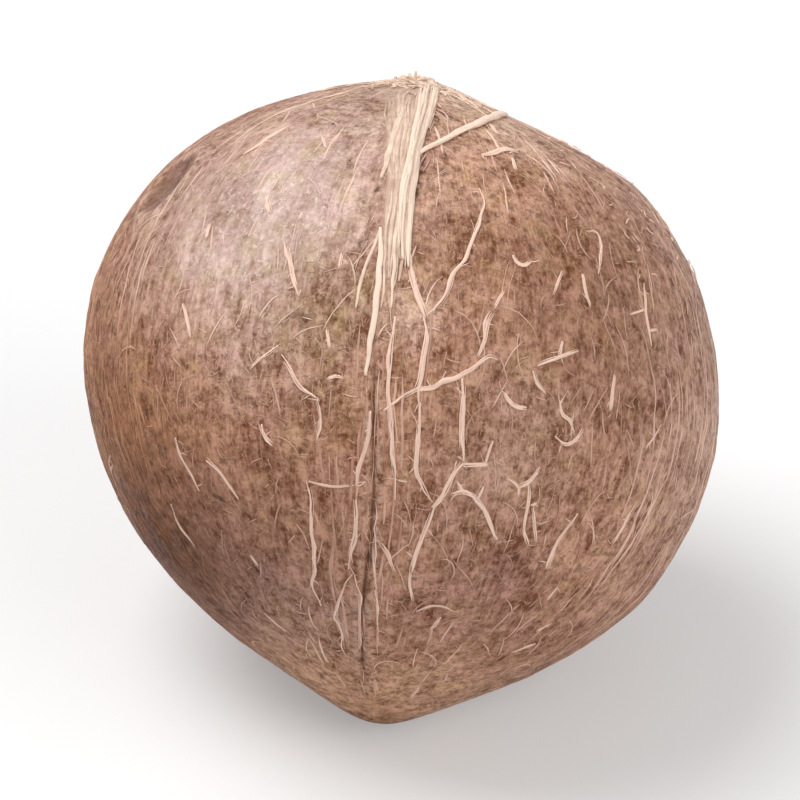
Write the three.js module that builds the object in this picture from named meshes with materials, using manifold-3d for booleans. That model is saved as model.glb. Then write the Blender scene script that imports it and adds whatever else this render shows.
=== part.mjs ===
// Coquito nut: the whole woody nut of the Chilean wine palm, a marble-sized round shell drawn out to a
// blunt point at one end and to a small scar, the knot, at the other. Three low ridges run from knot to point.
// Units are millimetres. +Z is up, and the nut lies on the flat spot that its flank has below its middle.
// Its point is low and to the front (-Y), its knot is high and to the back, and its best ridge faces front.
import * as THREE from "three";
import { mergeVertices } from "three/addons/utils/BufferGeometryUtils.js";
import Module from "manifold-3d";

const DEG = Math.PI / 180;

// The shell is a distance from the nut's middle that changes with two angles:
// polar, from 0 at the point to 180 degrees at the knot, and azimuth, from 0 at the front to 90 on the right.
const MEAN_RADIUS = 12;
const MEAN_SHARE = 0.983;
const EGG_SHARE = -0.042; // fuller towards the knot
const OBLATE_SHARE = -0.024; // broader than it is long, before the point and the knot
const SHOULDER_SHARE = 0.013; // squares the shoulders
const SKEW_SHARE = 0.0277; // low on the right, high on the left
const POINT = { share: 0.1, reach: 0.15, round: 0.15 };
const KNOT = { share: 0.03, reach: 0.1, round: 0.12 };

// Three ridges, evenly spaced. Between them the section is a little flatter, as a rounded triangle's is.
const RIDGE_COUNT = 3;
const FIRST_RIDGE = -5 * DEG;
const RIDGE_SWELL = 0.018;
const CREST = { height: 0.16, reach: 9 * DEG };

// The strip of husk fibres left along the upper half of the front ridge. It merges into the knot.
const HUSK_STRIP = {
  height: 0.22,
  halfWidth: 0.75,
  from: 96 * DEG,
  full: 125 * DEG,
  merging: 160 * DEG,
  gone: 174 * DEG,
};

// Gentle lumps (positive) and hollows (negative), each a few millimetres across.
const LUMPS = [
  { azimuth: -48 * DEG, polar: 118 * DEG, height: 0.12, reach: 26 * DEG },
  { azimuth: 38 * DEG, polar: 74 * DEG, height: 0.1, reach: 24 * DEG },
  { azimuth: 22 * DEG, polar: 132 * DEG, height: -0.12, reach: 18 * DEG },
  { azimuth: -34 * DEG, polar: 56 * DEG, height: -0.1, reach: 20 * DEG },
  { azimuth: 150 * DEG, polar: 92 * DEG, height: 0.14, reach: 24 * DEG },
  { azimuth: -152 * DEG, polar: 140 * DEG, height: -0.12, reach: 20 * DEG },
  { azimuth: 88 * DEG, polar: 159 * DEG, height: -0.31, reach: 13 * DEG },
  { azimuth: 88 * DEG, polar: 134 * DEG, height: 0.17, reach: 8 * DEG },
  { azimuth: 88 * DEG, polar: 56 * DEG, height: 0.19, reach: 12 * DEG },
];

// The three germ pores: shallow oval pits, one between each pair of ridges, nearer the knot.
const PORES = [
  { azimuth: -70 * DEG, polar: 127.5 * DEG },
  { azimuth: 102 * DEG, polar: 132 * DEG },
  { azimuth: 177 * DEG, polar: 116 * DEG },
];
const PORE_LENGTH = 2.9;
const PORE_WIDTH = 2.5;
const PORE_DEPTH = 0.32;

// How the nut lies. The lean brings the flank under its middle level with the floor.
const LEAN_BACK = 33 * DEG;
const LEAN_RIGHT = 4 * DEG;
const MIDDLE_HEIGHT = 11.05; // the round shell would reach 0.2 lower, so that much is the flat spot

const AROUND = 96;
const ALONG = 50;
const TIGHTER_AT_RIDGES = 0.35; // 0 spaces the columns evenly

// A smooth rise from 0 at or below low to 1 at or above high.
function rise(value, low, high) {
  const t = THREE.MathUtils.clamp((value - low) / (high - low), 0, 1);
  return t * t * (3 - 2 * t);
}

// A round-topped peak of height 1 at angle 0, which falls off over its reach.
function peak(angle, { reach, round }) {
  return Math.exp(-(Math.hypot(angle, round) - round) / reach);
}

// The smallest turn between two azimuths.
function turnBetween(a, b) {
  return Math.abs(Math.atan2(Math.sin(a - b), Math.cos(a - b)));
}

// The angle at the nut's middle between two directions.
function angleBetween(a, b) {
  const cosine =
    Math.cos(a.polar) * Math.cos(b.polar) +
    Math.sin(a.polar) * Math.sin(b.polar) * Math.cos(a.azimuth - b.azimuth);
  return Math.acos(THREE.MathUtils.clamp(cosine, -1, 1));
}

function bodyRadius(polar, azimuth) {
  const share =
    MEAN_SHARE +
    EGG_SHARE * Math.cos(polar) +
    OBLATE_SHARE * Math.cos(2 * polar) +
    SHOULDER_SHARE * Math.cos(3 * polar) +
    SKEW_SHARE * Math.sin(2 * polar) * Math.sin(azimuth) +
    POINT.share * peak(polar, POINT) +
    KNOT.share * peak(Math.PI - polar, KNOT);
  return MEAN_RADIUS * share;
}

function ridgeHeight(polar, azimuth) {
  const swell =
    MEAN_RADIUS * RIDGE_SWELL * Math.cos(RIDGE_COUNT * (azimuth - FIRST_RIDGE));
  let crest = 0;
  for (let i = 0; i < RIDGE_COUNT; i++) {
    const line = FIRST_RIDGE + (i * 2 * Math.PI) / RIDGE_COUNT;
    crest += CREST.height * Math.exp(-turnBetween(azimuth, line) / CREST.reach);
  }
  return (swell + crest) * Math.sin(polar) ** 2;
}

function stripHeight(polar, azimuth) {
  const sideways = MEAN_RADIUS * Math.sin(polar) * turnBetween(azimuth, FIRST_RIDGE);
  const across = 1 - rise(sideways, HUSK_STRIP.halfWidth * 0.5, HUSK_STRIP.halfWidth);
  const along =
    rise(polar, HUSK_STRIP.from, HUSK_STRIP.full) *
    (1 - rise(polar, HUSK_STRIP.merging, HUSK_STRIP.gone));
  return HUSK_STRIP.height * across * along;
}

function lumpHeight(polar, azimuth) {
  return LUMPS.reduce((sum, lump) => {
    const away = angleBetween({ polar, azimuth }, lump) / lump.reach;
    return sum + lump.height * Math.exp(-away * away);
  }, 0);
}

// A point of the shell in the nut's own frame: +X right, +Y to the back, +Z towards the knot.
function shellPoint(polar, azimuth) {
  const radius =
    bodyRadius(polar, azimuth) +
    ridgeHeight(polar, azimuth) +
    stripHeight(polar, azimuth) +
    lumpHeight(polar, azimuth);
  return new THREE.Vector3(
    radius * Math.sin(polar) * Math.sin(azimuth),
    -radius * Math.sin(polar) * Math.cos(azimuth),
    -radius * Math.cos(polar),
  );
}

// Columns drawn together at the ridges, with one exactly on each crest.
function columnAzimuth(column) {
  const even = (column * 2 * Math.PI) / AROUND;
  const pull = (TIGHTER_AT_RIDGES / RIDGE_COUNT) * Math.sin(RIDGE_COUNT * even);
  return FIRST_RIDGE + even - pull;
}

// The closed skin: one vertex at the point, rings of AROUND vertices, and one vertex at the knot.
function shellGeometry() {
  const vertices = [shellPoint(0, 0)];
  for (let ring = 1; ring < ALONG; ring++) {
    for (let column = 0; column < AROUND; column++) {
      vertices.push(shellPoint((ring * Math.PI) / ALONG, columnAzimuth(column)));
    }
  }
  vertices.push(shellPoint(Math.PI, 0));

  const at = (ring, column) => 1 + (ring - 1) * AROUND + (column % AROUND);
  const last = vertices.length - 1;
  const faces = [];
  for (let column = 0; column < AROUND; column++) {
    faces.push(0, at(1, column + 1), at(1, column));
    for (let ring = 1; ring < ALONG - 1; ring++) {
      const [a, b] = [at(ring, column), at(ring, column + 1)];
      const [c, d] = [at(ring + 1, column + 1), at(ring + 1, column)];
      faces.push(a, b, c, a, c, d);
    }
    faces.push(last, at(ALONG - 1, column), at(ALONG - 1, column + 1));
  }
  return new THREE.BufferGeometry().setFromPoints(vertices).setIndex(faces);
}

// The lens that leaves a pore's pit, centred on the shell and lying along it.
function poreGeometry({ polar, azimuth }) {
  const step = 2 * DEG;
  const centre = shellPoint(polar, azimuth);
  const towardsKnot = shellPoint(polar + step, azimuth).sub(shellPoint(polar - step, azimuth));
  const aroundNut = shellPoint(polar, azimuth + step).sub(shellPoint(polar, azimuth - step));
  const outwards = aroundNut.clone().cross(towardsKnot).normalize();
  const along = towardsKnot.normalize();
  const lens = new THREE.SphereGeometry(1, 28, 14);
  lens.scale(PORE_WIDTH / 2, PORE_LENGTH / 2, PORE_DEPTH);
  const frame = new THREE.Matrix4().makeBasis(along.clone().cross(outwards), along, outwards);
  return lens.applyMatrix4(frame.setPosition(centre));
}

const wasm = await Module();
wasm.setup();

function solidOf(geometry) {
  const bare = geometry.clone().deleteAttribute("normal").deleteAttribute("uv");
  const merged = mergeVertices(bare, 1e-4);
  return new wasm.Manifold(
    new wasm.Mesh({
      numProp: 3,
      vertProperties: merged.attributes.position.array,
      triVerts: new Uint32Array(merged.index.array),
    }),
  );
}

function geometryOf(solid) {
  const mesh = solid.getMesh();
  const geometry = new THREE.BufferGeometry();
  geometry.setAttribute("position", new THREE.BufferAttribute(mesh.vertProperties, 3));
  geometry.setIndex(new THREE.BufferAttribute(mesh.triVerts, 1));
  geometry.computeVertexNormals();
  return geometry;
}

// Lays a geometry of the nut's own frame down as it rests: the knot leans back and a little to the right.
function laidDown(geometry) {
  return geometry
    .rotateY(LEAN_RIGHT)
    .rotateX(-LEAN_BACK)
    .translate(0, 0, MIDDLE_HEIGHT);
}

// The floor's own block, which flattens what would reach below it.
function floorGeometry() {
  const side = 3 * MEAN_RADIUS;
  return new THREE.BoxGeometry(side, side, side).translate(0, 0, -side / 2);
}

let nut = solidOf(laidDown(shellGeometry()));
for (const pore of PORES) {
  nut = nut.subtract(solidOf(laidDown(poreGeometry(pore))));
}
nut = nut.subtract(solidOf(floorGeometry()));

const shellMaterial = new THREE.MeshStandardMaterial({
  color: new THREE.Color(0.4, 0.24, 0.17),
  roughness: 0.72,
  metalness: 0,
});

const shell = new THREE.Mesh(geometryOf(nut), shellMaterial);
shell.name = "coquito_nut";

const part = new THREE.Group();
part.add(shell);

export default part;
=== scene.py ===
"""Looks of the coquito nut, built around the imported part.

The shell follows the part's own formula, with finer relief. Husk strands, veins, threads and hairs are
meshes laid on it. The nut's own frame has its middle at the origin, +X right, +Y to the back and +Z towards
the knot. A direction in it has two angles: polar, from 0 at the point to 180 degrees at the knot, and
azimuth, from 0 at the front to 90 on the right. Lengths are in millimetres until laid_down turns them into
metres.
"""

import math

import bpy
import numpy as np
from mathutils import Matrix, Vector


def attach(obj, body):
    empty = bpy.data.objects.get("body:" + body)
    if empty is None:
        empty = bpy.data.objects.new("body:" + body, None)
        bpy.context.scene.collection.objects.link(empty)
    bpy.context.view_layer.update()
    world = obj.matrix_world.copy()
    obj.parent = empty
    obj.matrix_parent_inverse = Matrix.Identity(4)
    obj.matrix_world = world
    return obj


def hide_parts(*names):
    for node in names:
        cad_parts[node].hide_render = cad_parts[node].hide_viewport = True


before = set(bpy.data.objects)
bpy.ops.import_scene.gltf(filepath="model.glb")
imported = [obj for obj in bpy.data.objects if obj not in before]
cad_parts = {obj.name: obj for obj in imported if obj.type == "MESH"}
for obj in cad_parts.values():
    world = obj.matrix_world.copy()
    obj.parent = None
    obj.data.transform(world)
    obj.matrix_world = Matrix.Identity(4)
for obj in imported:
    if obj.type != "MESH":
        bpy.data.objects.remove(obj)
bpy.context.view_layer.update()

MM = 0.001
DEG = math.pi / 180
TAU = 2 * math.pi
SEED = 7

# The shell's form and how it lies, with the same values as in the CAD part.
MEAN_RADIUS = 12
MEAN_SHARE = 0.983
EGG_SHARE = -0.042
OBLATE_SHARE = -0.024
SHOULDER_SHARE = 0.013
SKEW_SHARE = 0.0277
POINT_PEAK = {"share": 0.1, "reach": 0.15, "rounding": 0.15}
KNOT_PEAK = {"share": 0.03, "reach": 0.1, "rounding": 0.12}
RIDGES = [(-5 + turn) * DEG for turn in (0, 120, 240)]
RIDGE_SWELL = 0.018
CREST_HEIGHT = 0.16
CREST_REACH = 9 * DEG
STRIP_HEIGHT = 0.22
STRIP_HALF_WIDTH = 0.75
STRIP_RISES = (96 * DEG, 125 * DEG)
STRIP_MERGES = (160 * DEG, 174 * DEG)
LUMPS = [  # azimuth, polar and reach in degrees, height in millimetres
    (-48, 118, 26, 0.12),
    (38, 74, 24, 0.1),
    (22, 132, 18, -0.12),
    (-34, 56, 20, -0.1),
    (150, 92, 24, 0.14),
    (-152, 140, 20, -0.12),
    (88, 159, 13, -0.31),
    (88, 134, 8, 0.17),
    (88, 56, 12, 0.19),
]
PORES = [(-70 * DEG, 127.5 * DEG), (102 * DEG, 132 * DEG), (177 * DEG, 116 * DEG)]  # azimuth, polar
PORE_LENGTH = 2.9
PORE_WIDTH = 2.5
LEAN_BACK = 33 * DEG
LEAN_RIGHT = 4 * DEG
MIDDLE_HEIGHT = 11.05

LAY_DOWN = Matrix.Rotation(-LEAN_BACK, 3, "X") @ Matrix.Rotation(LEAN_RIGHT, 3, "Y")

# The finer relief of the shell.
SHELL_COLUMNS = 440
SHELL_RINGS = 224
RIDGE_COLUMN_SHARE = 2.6  # how much closer the columns stand at a ridge
RIDGE_COLUMN_REACH = 4.5 * DEG
SUTURE_DEPTH = 0.1
SUTURE_HALF_WIDTH = 0.065
LIP_HEIGHT = 0.05
LIP_PLACE = 0.3
LIP_HALF_WIDTH = 0.14
SUTURE_OPENS = (18 * DEG, 30 * DEG)
SUTURE_FILLED = (86 * DEG, 104 * DEG)  # husk fills it nearer the knot
# How far right of its ridge the front suture runs, at some polar angles in degrees.
FRONT_SUTURE = [(30, -0.26), (42, -0.22), (52, -0.06), (64, 0.18), (74, 0.27), (100, 0)]
PORE_DEPTH = 0.28
PORE_WALL = (0.6, 1.03)  # this and the next four are shares of the way from a pore's middle to its edge
PORE_LIP_PLACE = 1.14
PORE_LIP_REACH = 0.13
PORE_RAGGEDNESS = 0.04
PORE_CLEARANCE = 1.15  # fibres come no nearer
PORE_LIP_HEIGHT = 0.06
UNEVENNESS = [(0.06, 22, 12), (0.035, 60, 30), (0.016, 190, 44), (0.014, 200, 110)]  # height, around, along


# ---- the shell's formula

def rise(value, low, high):
    """A smooth rise from 0 at or below low to 1 at or above high."""
    t = np.clip((value - low) / (high - low), 0, 1)
    return t * t * (3 - 2 * t)


def bell(value, reach):
    """A bell curve of height 1 at 0."""
    return np.exp(-((value / reach) ** 2))


def peak(angle, share, reach, rounding):
    """A round-topped peak at angle 0, which falls off over its reach."""
    return share * np.exp(-(np.hypot(angle, rounding) - rounding) / reach)


def turn_between(a, b):
    """The signed turn from azimuth b to azimuth a."""
    return np.arctan2(np.sin(a - b), np.cos(a - b))


def angle_between(polar, azimuth, other_polar, other_azimuth):
    """The angle at the nut's middle between two directions."""
    cosine = np.cos(polar) * np.cos(other_polar)
    cosine = cosine + np.sin(polar) * np.sin(other_polar) * np.cos(azimuth - other_azimuth)
    return np.arccos(np.clip(cosine, -1, 1))


def body_radius(polar, azimuth):
    share = MEAN_SHARE + EGG_SHARE * np.cos(polar)
    share = share + OBLATE_SHARE * np.cos(2 * polar) + SHOULDER_SHARE * np.cos(3 * polar)
    share = share + SKEW_SHARE * np.sin(2 * polar) * np.sin(azimuth)
    share = share + peak(polar, **POINT_PEAK) + peak(math.pi - polar, **KNOT_PEAK)
    return MEAN_RADIUS * share


def ridge_height(polar, azimuth):
    height = MEAN_RADIUS * RIDGE_SWELL * np.cos(3 * (azimuth - RIDGES[0]))
    for ridge in RIDGES:
        height = height + CREST_HEIGHT * np.exp(-np.abs(turn_between(azimuth, ridge)) / CREST_REACH)
    return height * np.sin(polar) ** 2


def strip_height(polar, azimuth):
    sideways = MEAN_RADIUS * np.sin(polar) * np.abs(turn_between(azimuth, RIDGES[0]))
    across = 1 - rise(sideways, STRIP_HALF_WIDTH * 0.5, STRIP_HALF_WIDTH)
    return STRIP_HEIGHT * across * rise(polar, *STRIP_RISES) * (1 - rise(polar, *STRIP_MERGES))


def lump_height(polar, azimuth):
    height = np.zeros(np.broadcast(polar, azimuth).shape)
    for lump_azimuth, lump_polar, reach, lump in LUMPS:
        away = angle_between(polar, azimuth, lump_polar * DEG, lump_azimuth * DEG)
        height += lump * bell(away, reach * DEG)
    return height


# ---- the shell's finer relief

def lattice_noise(polar, azimuth, around, along, seed):
    """Smooth noise from -1 to 1, with that many random values around the nut and from point to knot."""
    values = np.random.default_rng(seed).uniform(-1, 1, (along + 3, around))
    x = (azimuth / TAU) % 1 * around
    y = np.clip(polar / math.pi, 0, 1.01) * along
    column, row = np.floor(x).astype(int), np.floor(y).astype(int)
    across, up = rise(x - column, 0, 1), rise(y - row, 0, 1)
    column, beside = column % around, (column + 1) % around
    low = values[row, column] * (1 - across) + values[row, beside] * across
    high = values[row + 1, column] * (1 - across) + values[row + 1, beside] * across
    return low * (1 - up) + high * up


def suture_offset(polar, azimuth, ridge):
    """How far right of a ridge's suture a place is. The suture winds a little about its ridge."""
    winding = 0.06 * np.sin(5.2 * polar + 9 * ridge) + 0.02 * np.sin(17 * polar + 4 * ridge)
    if ridge == RIDGES[0]:
        winding = -np.interp(polar / DEG, *zip(*FRONT_SUTURE, strict=True))
    return MEAN_RADIUS * np.sin(polar) * turn_between(azimuth, ridge) + winding


def suture_share(polar):
    """How open a suture is along its ridge."""
    return rise(polar, *SUTURE_OPENS) * (1 - rise(polar, *SUTURE_FILLED))


def pore_distance(polar, azimuth, pore):
    """The distance from a pore's middle as a share of the way to its edge."""
    pore_azimuth, pore_polar = pore
    around = MEAN_RADIUS * math.sin(pore_polar) * turn_between(azimuth, pore_azimuth)
    along = MEAN_RADIUS * (polar - pore_polar)
    return np.hypot(around / (PORE_WIDTH / 2), along / (PORE_LENGTH / 2))


def ragged_pore_distance(polar, azimuth, pore):
    """The same, for a pore with an uneven edge."""
    uneven = PORE_RAGGEDNESS * lattice_noise(polar, azimuth, around=130, along=70, seed=SEED + 4)
    return pore_distance(polar, azimuth, pore) + uneven


def fine_height(polar, azimuth):
    """What the looks add to the part's formula: sutures, pores, and the unevenness of the shell."""
    height = np.zeros(np.broadcast(polar, azimuth).shape)
    for ridge in RIDGES:
        offset = suture_offset(polar, azimuth, ridge)
        groove = -SUTURE_DEPTH * bell(offset, SUTURE_HALF_WIDTH)
        lips = LIP_HEIGHT * bell(np.abs(offset) - LIP_PLACE, LIP_HALF_WIDTH)
        height += (groove + lips) * suture_share(polar)
    for pore in PORES:
        away = ragged_pore_distance(polar, azimuth, pore)
        lip = PORE_LIP_HEIGHT * bell(away - PORE_LIP_PLACE, PORE_LIP_REACH)
        height += lip - PORE_DEPTH * (1 - rise(away, *PORE_WALL))
    for index, (amount, around, along) in enumerate(UNEVENNESS):
        height += amount * np.sin(polar) * lattice_noise(polar, azimuth, around, along, SEED + index)
    return height


def shell_point(polar, azimuth):
    """Points of the finished shell in the nut's own frame."""
    polar, azimuth = np.asarray(polar, float), np.asarray(azimuth, float)
    radius = body_radius(polar, azimuth) + ridge_height(polar, azimuth) + strip_height(polar, azimuth)
    radius = radius + lump_height(polar, azimuth) + fine_height(polar, azimuth)
    level = radius * np.sin(polar)
    return np.stack([level * np.sin(azimuth), -level * np.cos(azimuth), -radius * np.cos(polar)], -1)


def angles_of(points):
    """The polar angle and azimuth of points of the nut's own frame."""
    points = np.asarray(points, float)
    level = np.hypot(points[..., 0], points[..., 1])
    return np.arctan2(level, -points[..., 2]), np.arctan2(points[..., 0], -points[..., 1])


# ---- meshes

def laid_down(points):
    """Points of the nut's own frame as the nut lies, in metres, with none under the floor."""
    laid = np.asarray(points) @ np.array(LAY_DOWN).T + [0, 0, MIDDLE_HEIGHT]
    laid[:, 2] = np.maximum(laid[:, 2], 0)
    return laid * MM


def mesh_object(name, points, faces, attributes):
    """A smooth piece of the nut. Attributes are one value or one colour a vertex."""
    mesh = bpy.data.meshes.new(name)
    mesh.from_pydata(laid_down(points).tolist(), [], faces)
    for key, values in attributes.items():
        values = np.asarray(values, np.float32)
        kind, slot = ("FLOAT", "value") if values.ndim == 1 else ("FLOAT_COLOR", "color")
        mesh.attributes.new(key, kind, "POINT").data.foreach_set(slot, values.ravel())
    mesh.polygons.foreach_set("use_smooth", [True] * len(mesh.polygons))
    mesh.update()
    piece = bpy.data.objects.new(name, mesh)
    bpy.context.scene.collection.objects.link(piece)
    return piece


def column_azimuths():
    """The shell's columns, which stand closer together at the ridges."""
    fine = np.linspace(0, TAU, 20001)
    density = np.ones_like(fine)
    for ridge in RIDGES:
        density += RIDGE_COLUMN_SHARE * bell(turn_between(fine, ridge), RIDGE_COLUMN_REACH)
    total = np.concatenate([[0], np.cumsum((density[1:] + density[:-1]) / 2)])
    return np.interp(np.arange(SHELL_COLUMNS) / SHELL_COLUMNS * total[-1], total, fine)


def grid_faces(rings, columns):
    """Faces of a closed skin: a first vertex, rings of vertices, and a last vertex."""
    last = 1 + rings * columns
    top = 1 + (rings - 1) * columns
    faces = []
    for column in range(columns):
        beside = (column + 1) % columns
        faces.append((0, 1 + beside, 1 + column))
        for ring in range(rings - 1):
            low, high = 1 + ring * columns, 1 + (ring + 1) * columns
            faces.append((low + column, low + beside, high + beside, high + column))
        faces.append((last, top + column, top + beside))
    return faces


# ---- the shell's colours

TAN = (0.463, 0.23, 0.143)
# On the upper left this colour is a painted highlight, the sheen of the light there; at the back it is a pale
# patch.
MAUVE_GREY_AND_PAINTED_SHEEN = (0.672, 0.488, 0.422)
PINK_TAN = (0.53, 0.315, 0.235)
ORANGE_TAN_AND_SHADE = (0.345, 0.135, 0.054)
DEEP_BROWN = (0.318, 0.149, 0.089)
OLIVE_BROWN = (0.35, 0.2, 0.11)
PLUM_BROWN = (0.345, 0.172, 0.132)
PAINTED_SHADE_TAN = (0.155, 0.046, 0.01)
PALE_TAN = (0.64, 0.41, 0.29)
GREY_TAN = (0.49, 0.285, 0.205)
DUSK_MAUVE = (0.47, 0.295, 0.235)
TIP_TAN = (0.73, 0.4, 0.24)
TIP_UNDERSIDE_SHADE = (0.5, 0.225, 0.12)
PATCHES = [  # azimuth, polar, reach in degrees, share, colour
    # an orange-tan patch on the left side, darkened further with painted shade of that side
    (-66, 86, 32, 1.0, ORANGE_TAN_AND_SHADE),
    (-64, 114, 18, 0.2, PINK_TAN),
    # painted highlight: the broad pale sheen on the upper left
    (-33, 125, 25, 0.95, MAUVE_GREY_AND_PAINTED_SHEEN),
    (-56, 125, 12, 0.8, DUSK_MAUVE),
    (-12, 104, 9, 0.6, OLIVE_BROWN),
    (4, 118, 8, 0.4, DEEP_BROWN),
    (2, 103, 5, 0.8, PALE_TAN),
    (34, 112, 24, 0.8, DEEP_BROWN),
    (50, 100, 17, 0.35, DEEP_BROWN),
    (30, 150, 16, 0.5, PALE_TAN),
    (19, 161, 10, 0.85, PALE_TAN),
    (-30, 152, 16, 0.6, DUSK_MAUVE),
    (20, 82, 16, 0.6, GREY_TAN),
    (22, 52, 18, 0.6, PLUM_BROWN),
    (-38, 50, 22, 0.7, PLUM_BROWN),
    # painted shade: the lower left, turned away from the light, darkened
    (-68, 52, 21, 0.95, PAINTED_SHADE_TAN),
    (-28, 38, 13, 0.3, DUSK_MAUVE),
    (74, 80, 24, 0.6, PINK_TAN),
    (0, 6, 22, 1.0, TIP_TAN),
    # painted shade: the underside of the point darkened
    (-10, 3, 7, 0.7, TIP_UNDERSIDE_SHADE),
    (120, 110, 38, 0.5, MAUVE_GREY_AND_PAINTED_SHEEN),
    (160, 70, 36, 0.7, ORANGE_TAN_AND_SHADE),
    (-140, 108, 34, 0.6, DEEP_BROWN),
    (-125, 62, 30, 0.6, PLUM_BROWN),
    (-170, 150, 24, 0.6, PALE_TAN),
]
# Where the shell has little mottling: azimuth, polar, reach in degrees.
CALM_PATCHES = [(-36, 124, 24), (128, 112, 26), (-118, 70, 22)]

# Where the masks begin and end. Those of the pores are shares of the way to the pore's edge.
PORE_SHARES = (0.62, 1, 0.9)  # how dark each pore is
PORE_DARK_ENDS = (0.86, 1.06)
PORE_EDGE_STARTS = (0.55, 1.0)
PORE_RIM_PLACE = 1.17
PORE_RIM_REACH = 0.1
PALE_LIP_PLACE = 0.24
PALE_LIP_REACH = 0.12
REAR_HUSK_SHARE = 0.6
REAR_HUSK_SIDES = (0.25, 0.9)
REAR_HUSK_STARTS = (100 * DEG, 135 * DEG)
KNOT_HUSK_STARTS = (158 * DEG, 170 * DEG)
FILM_SHADE_SHARE = 0.8  # of the film's own width
SHADOW_LINE_PROFILE = (0.5, 1.3, 1.3, 0.5)
PIT_SHARE = 0.9
PIT_REACH = (0.5, 2)


def patch_colour(polar, azimuth):
    """The shell's broad colour: tan, with soft patches of other browns. Some patches are painted light:
    a painted highlight on the upper left, and painted shade on the left side, the lower left and under the
    point.
    """
    colour = np.ones(polar.shape + (3,)) * TAN
    ragged = 5 * lattice_noise(polar, azimuth, around=16, along=8, seed=SEED + 10)
    ragged += 3 * lattice_noise(polar, azimuth, around=48, along=24, seed=SEED + 11)
    for patch_azimuth, patch_polar, reach, share, patch in PATCHES:
        away = angle_between(polar, azimuth, patch_polar * DEG, patch_azimuth * DEG) / DEG
        weight = (share * bell(away + ragged, reach))[..., None]
        colour = colour * (1 - weight) + np.array(patch) * weight
    return np.concatenate([colour, np.ones(polar.shape + (1,))], -1)


def calm_share(polar, azimuth):
    """How calm the shell is, from 0 to 1."""
    calm = np.zeros(polar.shape)
    for calm_azimuth, calm_polar, reach in CALM_PATCHES:
        away = angle_between(polar, azimuth, calm_polar * DEG, calm_azimuth * DEG) / DEG
        calm = np.maximum(calm, bell(away, reach))
    return calm


def near_line(points, places, half_widths):
    """How near points are to a line, given as it is seen from the front: 1 well inside it, 0 outside."""
    line, _, share = route(seen_line(places), step=0.08)
    reach = np.interp(share, np.linspace(0, 1, len(half_widths)), half_widths)
    low, high = line.min(0) - reach.max(), line.max(0) + reach.max()
    inside = np.flatnonzero(((points > low) & (points < high)).all(1))
    away = np.linalg.norm(points[inside, None] - line[None], axis=2) / reach
    mask = np.zeros(len(points))
    mask[inside] = 1 - rise(away.min(1), 0.5, 1)
    return mask


def shell_masks(polar, azimuth, points):
    """Where the shell has pores, sutures, husk, painted shadow beside the husk, dark pits and calm patches,
    from 0 to 1.
    """
    keys = ("pore", "pore_edge", "pore_rim", "suture", "lips", "husk", "painted_shadow_and_pits", "calm")
    masks = {key: np.zeros(polar.shape) for key in keys}

    def spread(key, values):
        masks[key] = np.maximum(masks[key], values)

    for place, share in zip(PORES, PORE_SHARES, strict=True):
        away = ragged_pore_distance(polar, azimuth, place)
        spread("pore", share * (1 - rise(away, *PORE_DARK_ENDS)))
        spread("pore_edge", rise(away, *PORE_EDGE_STARTS))
        spread("pore_rim", bell(away - PORE_RIM_PLACE, PORE_RIM_REACH))
    for ridge in RIDGES:
        offset = suture_offset(polar, azimuth, ridge)
        spread("suture", bell(offset, SUTURE_HALF_WIDTH) * suture_share(polar))
        spread("lips", bell(np.abs(offset) - PALE_LIP_PLACE, PALE_LIP_REACH) * suture_share(polar))
        if ridge != RIDGES[0]:
            beside = REAR_HUSK_SHARE * (1 - rise(np.abs(offset), *REAR_HUSK_SIDES))
            spread("husk", beside * rise(polar, *REAR_HUSK_STARTS))
    ragged = 5 * DEG * lattice_noise(polar, azimuth, around=30, along=60, seed=SEED + 12)
    spread("husk", rise(polar + ragged, *KNOT_HUSK_STARTS))
    spread("husk", near_line(points, FILM, [FILM_SHADE_SHARE * width for width in FILM_SPREAD]))
    # painted shadow: dark lines beside and under the husk
    for width, places in PAINTED_SHADOW_LINES:
        spread("painted_shadow_and_pits", near_line(points, places, [width * share for share in SHADOW_LINE_PROFILE]))
    for radius, across, up in PITS:
        away = np.linalg.norm(points - seen(across, up), axis=1)
        spread("painted_shadow_and_pits", PIT_SHARE * (1 - rise(away, *(radius * share for share in PIT_REACH))))
    spread("calm", calm_share(polar, azimuth))
    return masks


def build_shell():
    polar = np.arange(1, SHELL_RINGS + 1) / (SHELL_RINGS + 1) * math.pi
    polar, azimuth = np.meshgrid(polar, column_azimuths(), indexing="ij")
    polar = np.concatenate([[0], polar.ravel(), [math.pi]])
    azimuth = np.concatenate([[0], azimuth.ravel(), [0]])
    points = shell_point(polar, azimuth)
    attributes = {"broad": patch_colour(polar, azimuth), **shell_masks(polar, azimuth, points)}
    return mesh_object("nut_shell", points, grid_faces(SHELL_RINGS, SHELL_COLUMNS), attributes)


# ---- fibres

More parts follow.
